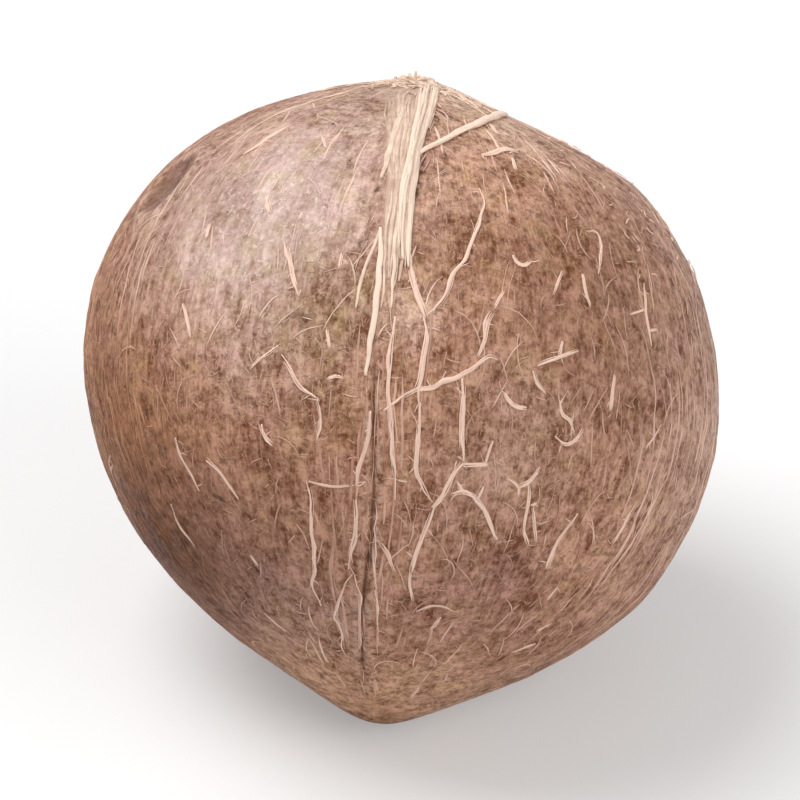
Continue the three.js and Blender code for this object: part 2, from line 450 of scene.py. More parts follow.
class Fibres:
    """A mesh of many thin strands that lie on the shell."""

    def __init__(self, seed):
        self.rng = np.random.default_rng(seed)
        self.vertices, self.faces, self.strands, self.unders = [], [], [], []
        self.count = 0

    def add(self, centres, normals, widths, tones, sides, flat):
        """Adds strands, one a row, with their centres, the shell's normals and the widths at even steps. The
        strand attribute holds the place across a strand and along it, and its tone, from 0, dark, to 1,
        light. The under attribute holds the shell's colour there."""
        sideways = np.cross(np.gradient(centres, axis=1), normals)
        sideways /= np.maximum(np.linalg.norm(sideways, axis=2, keepdims=True), 1e-9)
        turn = (np.arange(sides) + 0.5) / sides * TAU
        across = np.cos(turn)[:, None] * sideways[:, :, None, :]
        up = flat * np.sin(turn)[:, None] * normals[:, :, None, :]
        rings = centres[:, :, None, :] + widths[:, :, None, None] / 2 * (across + up)
        count, steps = widths.shape
        self.vertices.append(rings.reshape(-1, 3))
        lengths = np.linalg.norm(np.diff(centres, axis=1, prepend=centres[:, :1]), axis=2)
        strand = np.ones((count, steps, sides, 4))
        strand[..., 0] = widths[:, :, None] / 2 * np.cos(turn)
        strand[..., 1] = np.cumsum(lengths, axis=1)[:, :, None]
        strand[..., 2] = np.asarray(tones)[:, None, None]
        self.strands.append(strand.reshape(-1, 4))
        under = patch_colour(*angles_of(centres))
        self.unders.append(np.repeat(under, sides, axis=1).reshape(-1, 4))
        for _ in range(count):
            self.faces += tube_faces(self.count, steps, sides)
            self.count += steps * sides

    def wave(self, count, spacing):
        """Smooth random values about 0, one a step."""
        knots = self.rng.normal(0, 1, count // spacing + 3)
        return np.interp(np.arange(count) / spacing, np.arange(len(knots)), knots)

    def lay(
        self, points, width, tone, profile=(0.5, 1, 1, 1, 0.5),
        waver=0.02, lift=0.12, uneven=0.14, sides=6, flat=0.5,
    ):
        """Adds one strand along points of the shell. Its profile is its width along it, as shares of the
        full width. Lift is a share of it too, and uneven is how much the width varies."""
        centres, sideways, share = route(points, step=0.14)
        normals = centres / np.linalg.norm(centres, axis=1)[:, None]
        centres = centres + sideways * (waver * self.wave(len(share), 4))[:, None]
        centres = centres + normals * lift * width
        widths = width * np.interp(share, np.linspace(0, 1, len(profile)), profile)
        widths = widths * np.clip(1 + uneven * self.wave(len(share), 3), 0.6, 1.4)
        self.add(centres[None], normals[None], widths[None], [tone], sides, flat)

    def fray(self, points, spread, count, width, tone, vary=0.3, ragged=0.35, lift=0.2, **style):
        """Adds fine strands side by side over a band. Spread is the band's width along it, and vary is how
        much the tones differ. Ragged is how far in from the band's ends, as a share of it, the strands may
        start and stop."""
        centres, sideways, share = route(points, step=0.3)
        reach = np.interp(share, np.linspace(0, 1, len(spread)), spread) / 2
        for place in np.linspace(-1, 1, count):
            offsets = (place + 0.1 * self.wave(len(share), 5)) * reach
            first = int(self.rng.uniform(0, ragged) * len(share))
            last = max(first + 4, math.ceil(self.rng.uniform(1 - ragged, 1) * len(share)))
            own = width * self.rng.uniform(0.7, 1.4)
            shifted = (centres + sideways * offsets[:, None])[first:last]
            shade = tone + vary * self.rng.uniform(-1, 1)
            self.lay(shifted, own, shade, (0.3, 1, 1, 1, 0.3), waver=0.01, lift=lift, uneven=0.05, **style)

    def brush(self, points, width, tone, fine=3):
        """Adds a vein: a strand with finer ones that wind along it, and short side twigs."""
        self.lay(points, 0.75 * width, tone, (0.4, 0.9, 1, 0.9, 0.4), waver=0.045, uneven=0.26, flat=0.36)
        band = 3 * [0.62 * width]
        self.fray(points, band, fine, 0.36 * width, tone, vary=0.15, ragged=0.25, lift=0.3, sides=4)
        self.add_twigs(points, 0.36 * width)

    def add_twigs(self, points, width):
        """Adds short side twigs along a strand, about one a millimetre."""
        step = 0.2
        centres, _, _ = route(points, step)
        count = round(len(centres) * step * 1.1)
        polar, azimuth = angles_of(centres[self.rng.integers(0, len(centres), count)])
        heading, length = self.rng.uniform(0, TAU, count), self.rng.uniform(0.15, 0.5, count)
        widths = np.full(count, width)
        self.scatter(polar, azimuth, heading, length, widths, steps=4, flat=0.4, tones=(0.5, 1))

    def sprinkle(self, polar, azimuth, heading, lengths, widths, thinning=0, **style):
        """Adds hairs at those places, with lengths and widths drawn between two values each. Thinning is the
        share that is left out where the shell is calm."""
        length, width = self.rng.uniform(*lengths, len(polar)), self.rng.uniform(*widths, len(polar))
        if thinning:
            width = width * (self.rng.uniform(0, 1, len(polar)) > thinning * calm_share(polar, azimuth))
        self.scatter(polar, azimuth, heading, length, width, **style)

    def scatter(
        self, polar, azimuth, heading, length, width,
        steps=6, bend=0.8, lift=0.1, flat=0.5, sides=4, tones=(0, 1),
    ):
        """Adds many curved hairs, each from its own place. Heading 0 leads to the knot, and bend is in
        radians a millimetre. Hairs without a width, and those that would cross a pore, are left out."""
        polars, azimuths = wander(self.rng, polar, azimuth, heading, length, steps, bend)
        clear = clear_of_pores(polars, azimuths) & (width > 0)
        polars, azimuths, width = polars[clear], azimuths[clear], width[clear]
        centres = shell_point(polars, azimuths)
        normals = centres / np.linalg.norm(centres, axis=2, keepdims=True)
        centres = centres + normals * (lift * width)[:, None, None]
        body = np.sin(np.linspace(0.12, 0.88, steps) * math.pi) ** 0.7
        widths = width[:, None] * body * self.rng.uniform(0.75, 1.25, (len(polars), steps))
        self.add(centres, normals, widths, self.rng.uniform(*tones, len(polars)), sides, flat)

    def piece(self, name):
        attributes = {"strand": np.concatenate(self.strands), "under": np.concatenate(self.unders)}
        return mesh_object(name, np.concatenate(self.vertices), self.faces, attributes)


def tube_faces(start, rings, sides):
    faces = [tuple(start + side for side in reversed(range(sides)))]
    for ring in range(rings - 1):
        low, high = start + ring * sides, start + (ring + 1) * sides
        for side in range(sides):
            beside = (side + 1) % sides
            faces.append((low + side, low + beside, high + beside, high + side))
    top = start + (rings - 1) * sides
    faces.append(tuple(top + side for side in range(sides)))
    return faces


def smooth_curve(points, steps=10):
    """A Catmull-Rom curve through the points."""
    ends = np.concatenate([[2 * points[0] - points[1]], points, [2 * points[-1] - points[-2]]])
    t = (np.arange(steps) / steps)[:, None]
    parts = []
    for a, b, c, d in zip(ends[:-3], ends[1:-2], ends[2:-1], ends[3:], strict=True):
        square, cube = 2 * a - 5 * b + 4 * c - d, 3 * (b - c) + d - a
        parts.append(b + (t * (c - a) + t**2 * square + t**3 * cube) / 2)
    return np.concatenate([*parts, points[-1:]])


def route(points, step):
    """Even steps along a smooth curve through points, laid on the shell: their places, the directions
    sideways, and the share of the way."""
    curve = smooth_curve(np.asarray(points, float))
    lengths = np.concatenate([[0], np.cumsum(np.linalg.norm(np.diff(curve, axis=0), axis=1))])
    share = np.linspace(0, 1, max(4, int(lengths[-1] / step) + 1))
    even = np.stack([np.interp(share * lengths[-1], lengths, curve[:, axis]) for axis in range(3)], -1)
    centres = shell_point(*angles_of(even))
    sideways = np.cross(np.gradient(centres, axis=0), centres)
    return centres, sideways / np.linalg.norm(sideways, axis=1)[:, None], share


def wander(rng, polar, azimuth, heading, length, steps, bend):
    """The angles at even steps of wandering lines on the shell, one a row. Bend is as in scatter."""
    polars, azimuths = [polar], [azimuth]
    step = length / (steps - 1)
    turn = rng.normal(0, bend, len(polar))
    for _ in range(steps - 1):
        polar = polar + step * np.cos(heading) / MEAN_RADIUS
        level = np.maximum(np.abs(np.sin(polar)), 0.1)
        azimuth = azimuth + step * np.sin(heading) / (MEAN_RADIUS * level)
        heading = heading + step * (turn + rng.normal(0, bend * 0.6, len(polar)))
        polars.append(polar)
        azimuths.append(azimuth)
    return np.stack(polars, 1), np.stack(azimuths, 1)


def clear_of_pores(polars, azimuths):
    """Which of some lines, one a row, stay off the pores."""
    clear = np.full(len(polars), True)
    for pore in PORES:
        clear &= (pore_distance(polars, azimuths, pore) > PORE_CLEARANCE).all(axis=1)
    return clear


def seen(across, up):
    """The place of the shell that is seen from the front that far right of and above the nut's middle."""
    x = across * math.cos(LEAN_RIGHT) - up * math.sin(LEAN_RIGHT)
    z = across * math.sin(LEAN_RIGHT) + up * math.cos(LEAN_RIGHT)
    point = np.array([x, -MEAN_RADIUS, z])
    for _ in range(12):
        radius = np.linalg.norm(shell_point(*angles_of(point)))
        depth = max(radius**2 - x**2 - z**2, 0.01)
        point = np.array([x, -math.sqrt(depth), z])
    return shell_point(*angles_of(point))


def seen_line(places):
    return [seen(*place) for place in places]


# ---- the husk, the veins and the hairs

# Fibres of the front, with their widths and their places as they are seen from the front: right of and above
# the nut's middle.
CORE = [  # the bright strip
    (1.2, 11.9), (1.03, 11.3), (0.85, 10.6), (0.69, 9.9), (0.55, 9.3), (0.43, 8.6), (0.28, 7.8), (0.21, 7),
    (0.18, 6), (0.2, 4.9),
]
CORE_SPREAD = (0.5, 0.55, 0.5, 0.42, 0.38, 0.36, 0.4, 0.46, 0.46, 0.34)
FILM = [  # the dull film of fibres on its left
    (0.3, 11.8), (0.14, 11.2), (0.06, 10.5), (0, 9.8), (-0.08, 8.9), (-0.1, 8), (-0.18, 7.1), (-0.28, 6.2),
    (-0.36, 5.3), (-0.4, 4.5),
]
FILM_SPREAD = (1.6, 1.35, 1.15, 1.0, 0.85, 0.75, 0.7, 0.65, 0.55, 0.3)
SIDE_STRAND = [
    (0.66, 9.16), (1.2, 9.48), (1.7, 9.76), (2.2, 10.03), (2.7, 10.28), (3.2, 10.53), (3.7, 10.76),
    (3.95, 10.88),
]
SIDE_PROFILE = (0.5, 0.6, 0.75, 0.95, 1, 1, 0.8)
SIDE_SPREAD = (0.14, 0.2, 0.28, 0.28)
HUSK_STRANDS = [  # width, tone, places
    (0.26, 0.72, [(0.12, 10.9), (-0.1, 10.3), (-0.32, 9.7), (-0.44, 9.2), (-0.56, 8.7), (-0.66, 8.25)]),
    (0.14, 0.75, [(0.3, 7.6), (0.3, 6.8), (0.28, 6.1), (0.3, 5.5), (0.38, 5), (0.45, 4.5)]),
    (0.13, 0.6, [(0.2, 10.6), (-0.05, 10), (-0.25, 9), (-0.3, 8), (-0.35, 7.2), (-0.5, 6.4), (-0.55, 5.8)]),
    (0.14, 0.8, [(0.05, 7.4), (-0.1, 6.6), (-0.2, 5.8), (-0.24, 5), (-0.28, 4.2), (-0.32, 3.4)]),
    (0.13, 0.65, [(0.02, 6.6), (0.08, 5.9), (0.08, 5.3), (0.04, 4.9), (-0.06, 4.4)]),
    (0.12, 0.6, [(0.2, 8.4), (0, 7.4), (-0.05, 6.4), (-0.1, 5.4), (-0.15, 4.6), (-0.3, 4)]),
    (0.24, 1.1, [(-0.72, 6.4), (-0.7, 5.6), (-0.78, 4.8), (-0.87, 3.9), (-0.95, 3.1), (-1.1, 2),
                 (-1.25, 0.9)]),
    (0.14, 0.75, [(-0.76, 6.3), (-0.95, 5.8), (-1.2, 5.2), (-1.4, 4.6), (-1.55, 4), (-1.65, 3.4)]),
    (0.1, 0.6, [(-0.5, 6.1), (-0.55, 5.2), (-0.6, 4.2), (-0.7, 3.4)]),
    (0.17, 0.6, [(-1.3, 11.85), (-0.8, 11.98), (-0.3, 12.05), (0.2, 12.1), (0.6, 12.12)]),
    (0.15, 0.7, [(1.45, 12), (1.42, 11.6), (1.3, 11.1), (1.2, 10.6), (1.1, 10.2)]),
]

# Painted shadow: dark lines beside and under the husk and beside a vein, each with its half-width. And small
# dark pits, each with its radius.
PAINTED_SHADOW_LINES = [
    (0.13, [(0.93, 9.25), (0.86, 8.8), (0.77, 8.3), (0.64, 7.7), (0.55, 7.15)]),
    (0.07, [(0.12, 11.72), (0.5, 11.48), (0.92, 11.15)]),
    (0.09, [(1.38, 11), (1.28, 10.5), (1.15, 10), (1.05, 9.7)]),
    (0.07, [(-1.3, 7.65), (-1.36, 7.3), (-1.45, 7)]),
    (0.08, [(-3.62, -4.5), (-3.7, -4.8), (-3.75, -5.1)]),
]
PITS = [
    (0.15, -1.79, 8.73), (0.15, -0.95, 8.69), (0.15, -0.85, 7.85), (0.2, -1.4, 5.75), (0.14, -2.4, 10.4),
    (0.14, -1.57, 10.3), (0.22, 1.68, 10.72), (0.13, 1.72, 9.07), (0.11, 1.55, 8.6), (0.17, 2.68, 6.84),
    (0.13, 3.23, 6.7), (0.16, 1.75, 6.75), (0.14, 1.15, 6.15), (0.13, 4.35, 9.15), (0.26, -6.8, -3.65),
    (0.16, -3.55, -1.77), (0.18, -5.45, -2.05), (0.16, -5.5, -6.2), (0.14, -4.4, -5.7), (0.16, -3.5, 2.9),
    (0.15, -4.45, 4.27), (0.2, 5, 5.75), (0.15, 5.55, 6.7), (0.15, 10.3, 4.15), (0.14, 8.4, 3.9),
    (0.12, 0.35, 12.05), (0.2, -1.28, -11), (0.16, -0.8, 0.9), (0.14, 4.3, -5.9), (0.15, -8.1, -5.4),
]
VEINS = [
    (0.2, [(0.35, 5.1), (0.4, 4.7), (0.6, 4), (0.8, 3.5), (0.95, 3.05)]),
    (0.19, [(0.95, 3.1), (1, 2.4), (0.9, 1.75), (0.8, 1.1), (0.7, 0.6), (0.6, 0.35), (0.7, -0.2)]),
    (0.13, [(0.95, 3.05), (1.25, 3.3), (1.55, 3.65), (1.8, 4.1), (2, 4.7), (2.4, 5.2), (2.6, 5.7),
            (2.8, 6.2), (3, 6.8), (3.15, 7.4), (3, 7.9)]),
    (0.13, [(0.7, -0.1), (0.7, -0.8), (0.65, -1.5), (0.6, -2.6), (0.8, -3.1), (1.15, -3.8)]),
    (0.16, [(-0.6, -0.4), (-0.35, -0.15), (0, 0.1), (0.35, 0.25), (0.6, 0.4), (1.2, 0.45), (1.6, 0.7),
            (1.95, 0.75), (2.3, 0.95), (2.7, 1.15), (3, 1.4), (3.3, 1.6), (3.6, 1.45)]),
    (0.12, [(2.85, 1.6), (3.1, 2.1), (3.2, 2.6), (3.3, 3), (3.45, 3.2)]),
    (0.08, [(3.5, 3.4), (3.65, 3.75), (3.85, 4.05)]),
    (0.17, [(2.35, 0.8), (2.35, 0.1), (2.3, -0.6), (2.3, -1.5), (2.3, -2.4)]),
    (0.14, [(2.3, -2.4), (2.7, -2.4), (3.25, -2.4)]),
    (0.09, [(3.15, -2.4), (3.3, -1.9), (3.45, -1.5)]),
    (0.17, [(2.3, -2.35), (1.95, -2.8), (1.6, -3.5), (1.2, -4)]),
    (0.17, [(1.25, -3.9), (0.9, -4.9), (0.6, -5.7), (0.4, -6.4)]),
    (0.09, [(0.4, -6.4), (0.35, -6.8), (0.4, -7.1), (0.5, -7.5)]),
    (0.15, [(1.9, -3.5), (2.35, -3.4), (2.8, -3.6), (3.15, -4.1), (3.4, -4.7), (3.6, -5.2)]),
    (0.08, [(2.1, -3), (2.4, -3.5)]),
    (0.08, [(2.9, -3.7), (3.1, -3.2)]),
    (0.14, [(4.2, 5.4), (4.35, 5.1), (4.6, 5), (4.85, 5.15)]),
    (0.1, [(7, 6.3), (7.35, 6.3), (7.5, 5.9), (7.5, 5.3), (7.4, 4.7)]),
    (0.13, [(6.8, 4.7), (6.9, 4.1), (7.1, 3.5)]),
    (0.12, [(9.15, 4.4), (9.2, 3.8), (9.2, 3.3), (9.3, 2.7), (9.4, 2)]),
    (0.08, [(8.6, 3.2), (9.2, 3.4)]),
    (0.08, [(9.3, 2.6), (9.65, 2.65)]),
    (0.08, [(6.05, 4.8), (5.85, 4.3), (5.7, 3.9)]),
    (0.13, [(5.1, 1.3), (5.55, 1.5), (5.9, 1.6), (6.65, 1.85)]),
    (0.09, [(5.9, 1.6), (6.05, 2.2)]),
    (0.12, [(4.95, 1.1), (5.1, 0.65), (5.4, 0.3)]),
    (0.15, [(3.85, 0.25), (4.2, -0.2), (4.7, -0.3)]),
    (0.12, [(8, 0.95), (7.9, 0.3), (7.8, -0.4)]),
    (0.12, [(5.9, 0), (6, -0.5), (6.3, -0.75), (6.5, -1.25)]),
    (0.11, [(5.75, -1.35), (6.1, -1.65), (6.5, -1.5), (6.8, -1.05)]),
    (0.13, [(4.35, -3.2), (4.8, -3), (5.2, -2.5)]),
    (0.09, [(4, -2.9), (4.4, -3.2), (4.35, -3.6)]),
    (0.1, [(4.8, -3), (4.8, -3.6), (4.7, -4.2), (4.6, -4.9), (4.75, -5.4)]),
    (0.08, [(4.85, -3.9), (5.1, -3.85)]),
    (0.08, [(4.9, -4), (5, -4.8), (5.05, -5.3)]),
    (0.13, [(6.6, -4.2), (6.2, -4.8), (5.85, -5.3), (5.6, -6), (5.45, -6.3)]),
    (0.12, [(8.8, -3.9), (8.5, -4.4), (8.2, -5), (7.9, -5.4)]),
    (0.08, [(9.8, -0.9), (9.5, -1.4), (9.2, -1.8)]),
    (0.14, [(-0.2, 3.1), (-0.3, 2.3), (-0.4, 1.2), (-0.45, 0.3), (-0.4, -0.4), (-0.3, -1.5), (-0.25, -2.4),
            (-0.15, -3), (-0.1, -3.7)]),
    (0.14, [(-1.1, -0.4), (-1.15, -1.2), (-1.3, -1.8), (-1.55, -2.6), (-1.65, -3.2)]),
    (0.13, [(-1.65, -3.7), (-1.65, -4.8), (-1.85, -5.7), (-1.9, -6.3)]),
    (0.09, [(-1.75, -6.4), (-2.1, -7), (-2.4, -8), (-2.2, -8.55), (-2.15, -9.2), (-2.05, -9.6)]),
    (0.09, [(-1.7, -6.5), (-1.5, -7.3), (-1.5, -8.1), (-1.5, -8.8), (-1.5, -9.5)]),
    (0.11, [(-3.4, -3), (-3.25, -3.9), (-3.3, -4.8), (-3.2, -5.7), (-3.2, -6.4), (-3.3, -6.9),
            (-2.95, -7.7)]),
    (0.08, [(-3.4, -3), (-2.9, -3.15), (-2.3, -3.2), (-1.7, -3.1)]),
    (0.08, [(-3.1, -8.9), (-2.9, -9.5), (-2.75, -9.9)]),
    (0.09, [(-0.8, -5.2), (-0.45, -5.8), (-0.2, -6.4)]),
    (0.07, [(-0.85, -3.8), (-0.92, -4.8), (-0.98, -5.9), (-0.9, -6.8), (-0.85, -7.8), (-0.85, -9)]),
    (0.13, [(-5.9, 9.2), (-5.2, 9.65), (-4.6, 10.05), (-4, 10.35)]),
    (0.11, [(-2.9, 9.9), (-2.75, 9.4)]),
    (0.13, [(-5, 7.7), (-4.9, 7.3), (-4.8, 6.95)]),
    (0.15, [(-4.25, 5.9), (-4.1, 5.3), (-3.95, 4.5), (-3.75, 3.85)]),
    (0.13, [(-2.15, 5.45), (-2.25, 4.85)]),
    (0.11, [(-7.1, 6.6), (-7.25, 6)]),
    (0.11, [(-8.1, 3.6), (-7.9, 2.9), (-7.8, 2.3)]),
    (0.12, [(-2.7, 2.6), (-2.6, 1.9)]),
    (0.09, [(-5.6, 1.2), (-5.1, 1.6), (-4.5, 2)]),
    (0.12, [(-4.4, 1.7), (-4.1, 1.2), (-3.7, 0.5), (-3.1, 0.1)]),
    (0.09, [(-3.1, 0.1), (-2.95, -0.6), (-3.1, -1.5)]),
    (0.1, [(-2.7, 0.75), (-2.35, 0.9), (-2.1, 0.75)]),
    (0.11, [(-5.2, -0.9), (-5.05, -1.3), (-4.7, -1.65)]),
    (0.11, [(-8.4, -1.4), (-8.2, -2.1), (-7.8, -2.8), (-7.5, -3.4)]),
    (0.11, [(-7.2, -2.2), (-6.7, -2.7), (-6.3, -3.3), (-6, -3.7)]),
    (0.09, [(-8.6, -3.9), (-8.3, -4.7), (-7.7, -5.5)]),
    (0.08, [(-5.6, -5.8), (-5.3, -6.2)]),
    (0.08, [(-5.1, -8), (-4.3, -8.7)]),
    (0.08, [(0.6, -7.9), (1.1, -7.7), (1.6, -7.7), (2, -7.9)]),
    (0.08, [(1.5, -8.1), (1.1, -8.6)]),
    (0.08, [(4.2, -9.5), (5.1, -9.2)]),
    (0.08, [(5.1, -8.7), (5.7, -8.4)]),
    (0.08, [(5.5, -7.5), (5.9, -7)]),
    (0.22, [(3.05, 9.2), (3.45, 9.25), (3.9, 9.4), (4.45, 9.3)]),
    (0.1, [(4.2, 9.1), (4.35, 8.6)]),
    (0.1, [(3.35, 10.4), (3.75, 10)]),
]

# Strips of husk on the ridges that face away: azimuth, the polar angle where it ends, and width.
REAR_BANDS = [
    (115, 108, 1), (111.5, 126, 0.6), (118, 136, 0.5),
    (235, 100, 0.9), (239, 122, 0.6), (231, 138, 0.6),
]
REAR_CORE_PROFILE = (1.1, 0.9, 0.8, 0.7, 0.4)
REAR_FRINGE_PROFILE = (1.8, 1.5, 1.8)

# Fine threads that run along the nut: azimuths, polar angles, lengths, widths, how many, tone.
THREADS = [
    ((44, 104), (34, 100), (2, 6), (0.05, 0.13), 60, 0.55),
    ((-104, -56), (60, 115), (1.5, 5), (0.06, 0.14), 50, 0.45),
    ((-75, -15), (105, 145), (0.8, 3), (0.06, 0.12), 18, 0.4),
    ((104, 256), (30, 140), (1.5, 7), (0.06, 0.14), 120, 0.45),
    ((-14, 4), (34, 92), (1, 4), (0.06, 0.13), 34, 0.4),
    ((-60, 60), (125, 165), (1, 3), (0.06, 0.15), 30, 0.6),
    ((-30, 30), (14, 40), (0.8, 2), (0.06, 0.13), 24, 0.6),
]

TUFT_STRANDS = 34
TUFT_FELT = 640
TUFT_ENDS = 18
TUFT_END_HEIGHT = 0.16
# The longest ends: polar angle, azimuth, height.
TUFT_PEAKS = [(177.5, -85, 0.3), (178.5, -60, 0.36), (179, 10, 0.28), (178, 70, 0.22)]
VEIN_SWELL = 1.27
REAR_VEINS = 110
FUZZ = 3200  # how many short hairs, all over
HAIRS = 1500  # how many longer ones
RAISED = 70  # how many that stand off the shell, on the right shoulder


def build_husk():
    """The husk left on the ridges and round the knot."""
    fibres = Fibres(SEED + 20)
    film, core, side = seen_line(FILM), seen_line(CORE), seen_line(SIDE_STRAND)
    fibres.fray(film, FILM_SPREAD, count=15, width=0.17, tone=0.5, vary=0.12, ragged=0.2, lift=0.05, flat=0.25)
    fibres.fray(core, CORE_SPREAD, count=8, width=0.17, tone=1.3, vary=0.15, ragged=0.05, lift=0.4, flat=0.3)
    fibres.lay(side, width=0.42, tone=0.95, profile=SIDE_PROFILE, lift=0.15, uneven=0.04, flat=0.4)
    fibres.fray(side, SIDE_SPREAD, count=4, width=0.08, tone=1.15, vary=0.1, ragged=0.1, lift=0.8)
    for width, tone, places in HUSK_STRANDS:
        fibres.lay(seen_line(places), width, tone, uneven=0.08, sides=8, flat=0.35)
    for azimuth, end, width in REAR_BANDS:
        polars = np.linspace(174, end, 9) * DEG
        bends = 0.25 * fibres.wave(9, 3) / (MEAN_RADIUS * np.sin(polars))
        band = shell_point(polars, azimuth * DEG + bends)
        core_spread = [width * share for share in REAR_CORE_PROFILE]
        fringe_spread = [width * share for share in REAR_FRINGE_PROFILE]
        fibres.fray(band, core_spread, count=round(width * 9), width=0.12, tone=0.7, ragged=0.45, lift=0.3)
        fibres.fray(band, fringe_spread, count=round(width * 11), width=0.08, tone=0.5, ragged=0.5)
    build_tuft(fibres)
    return fibres.piece("husk_strands")


def build_tuft(fibres):
    """The scruffy husk at the knot: felt, strands that run out from it, and short ends that stand up."""
    rng = fibres.rng
    polar, azimuth = math.pi - np.abs(rng.normal(0, 6, TUFT_FELT)) * DEG, rng.uniform(0, TAU, TUFT_FELT)
    felt = {"lengths": (0.3, 1.1), "widths": (0.06, 0.17), "tones": (0.2, 0.95), "lift": 0.25}
    fibres.sprinkle(polar, azimuth, rng.normal(math.pi, 0.8, TUFT_FELT), **felt, steps=5, bend=0.9)
    for _ in range(TUFT_STRANDS):
        azimuth = rng.uniform(0, TAU)
        reach = rng.gamma(3, 2.4) + 3
        polars = np.linspace(rng.uniform(172, 178), 177 - reach, 6) * DEG
        azimuths = azimuth + 0.25 * fibres.wave(6, 2)
        width = rng.uniform(0.08, 0.22)
        fibres.lay(shell_point(polars, azimuths), width, rng.uniform(0.4, 0.9), flat=0.35, lift=0.08)
    ends = [(180 - abs(rng.normal(0, 3)), rng.uniform(0, 360), TUFT_END_HEIGHT) for _ in range(TUFT_ENDS)]
    for polar, azimuth, height in ends + TUFT_PEAKS:
        base = shell_point(polar * DEG, azimuth * DEG)
        lean = np.array([rng.normal(0, 0.5), rng.normal(0, 0.5), 1])
        share = np.linspace(0, 1, 5)[:, None]
        curl = [rng.normal(0, 0.12), 0, 0]
        centres = base + height * share * lean / np.linalg.norm(lean) + curl * share**2
        normals = np.tile([0.0, -1, 0], (5, 1))
        widths = rng.uniform(0.16, 0.3) * np.linspace(1, 0.6, 5)
        fibres.add(centres[None], normals[None], widths[None], [rng.uniform(0.5, 1)], sides=6, flat=0.6)


def build_veins():
    """The branching fibres of the front, and veins like them over the rest."""
    fibres = Fibres(SEED + 30)
    rng = fibres.rng
    for width, places in VEINS:
        line = seen_line(places)
        fibres.brush(line, VEIN_SWELL * width, rng.uniform(0.95, 1.25))
    for _ in range(REAR_VEINS):
        polar = math.acos(rng.uniform(-0.9, 0.86))
        azimuth = rng.uniform(80, 280) * DEG
        heading = rng.normal(0, 0.5)
        grow_vein(fibres, polar, azimuth, heading, length=rng.uniform(1.2, 4), width=rng.uniform(0.09, 0.17))
    return fibres.piece("veins")


def build_threads():
    """Fine threads that run along the nut."""
    fibres = Fibres(SEED + 50)
    rng = fibres.rng
    for azimuths, polars, lengths, widths, count, tone in THREADS:
        for _ in range(count):
            start = rng.uniform(*polars) * DEG
            place = rng.uniform(*azimuths) * DEG
            heading = rng.normal(0, 0.05)
            line = walk(rng, start, place, heading, rng.uniform(*lengths), bend=0.03)
            width = rng.uniform(*widths)
            own_tone = np.clip(tone + rng.normal(0, 0.2), 0, 1)
            fibres.lay(line, width, own_tone, (0.2, 1, 1, 1, 0.2), lift=0.03, flat=0.3)
    return fibres.piece("threads")


def walk(rng, polar, azimuth, heading, length, bend):
    """Points of one wandering line on the shell. Heading 0 leads to the knot."""
    steps = max(4, round(length / 0.3))
    start = [np.array([value]) for value in (polar, azimuth, heading, length)]
    polars, azimuths = wander(rng, *start, steps, bend)
    return shell_point(polars[0], azimuths[0])


def grow_vein(fibres, polar, azimuth, heading, length, width):
    """A vein with shorter, thinner twigs."""
    rng = fibres.rng
    line = walk(rng, polar, azimuth, heading, length, bend=0.35)
    if not clear_of_pores(*(angles[None] for angles in angles_of(line)))[0]:
        return
    tone = rng.uniform(0.4, 0.8)
    fibres.brush(line, width, tone, fine=1)
    if width > 0.1:
        for _ in range(rng.integers(0, 4)):
            start = angles_of(line[rng.integers(1, len(line))])
            side = heading + rng.choice([-1, 1]) * rng.uniform(0.5, 1.2)
            grow_vein(fibres, *start, side, length * rng.uniform(0.25, 0.5), width * 0.65)


def build_hairs():
    """Short pale hairs all over the shell: fine fuzz, longer hairs that follow the nut's length, and a few
    that stand off its right shoulder."""
    fibres = Fibres(SEED + 40)
    rng = fibres.rng
    polar, azimuth = np.arccos(rng.uniform(-0.985, 0.985, FUZZ)), rng.uniform(0, TAU, FUZZ)
    fuzz = {"lengths": (0.2, 0.7), "widths": (0.03, 0.065), "thinning": 0.85}
    fibres.sprinkle(polar, azimuth, rng.uniform(0, TAU, FUZZ), **fuzz, steps=4, bend=0.9, flat=0.3, sides=3)
    polar, azimuth = np.arccos(rng.uniform(-0.97, 0.97, HAIRS)), rng.uniform(0, TAU, HAIRS)
    hairs = {"lengths": (0.5, 2), "widths": (0.04, 0.09), "thinning": 0.7}
    fibres.sprinkle(polar, azimuth, rng.normal(0, 0.35, HAIRS), **hairs, bend=0.5, flat=0.35)
    polar, azimuth = rng.uniform(116, 152, RAISED) * DEG, rng.uniform(50, 110, RAISED) * DEG
    raised = {"lengths": (0.2, 0.6), "widths": (0.06, 0.11), "lift": 0.9, "flat": 0.6, "tones": (0.6, 1.2)}
    fibres.sprinkle(polar, azimuth, rng.uniform(0, TAU, RAISED), **raised, steps=5, bend=2)
    return fibres.piece("hairs")


# ---- materials

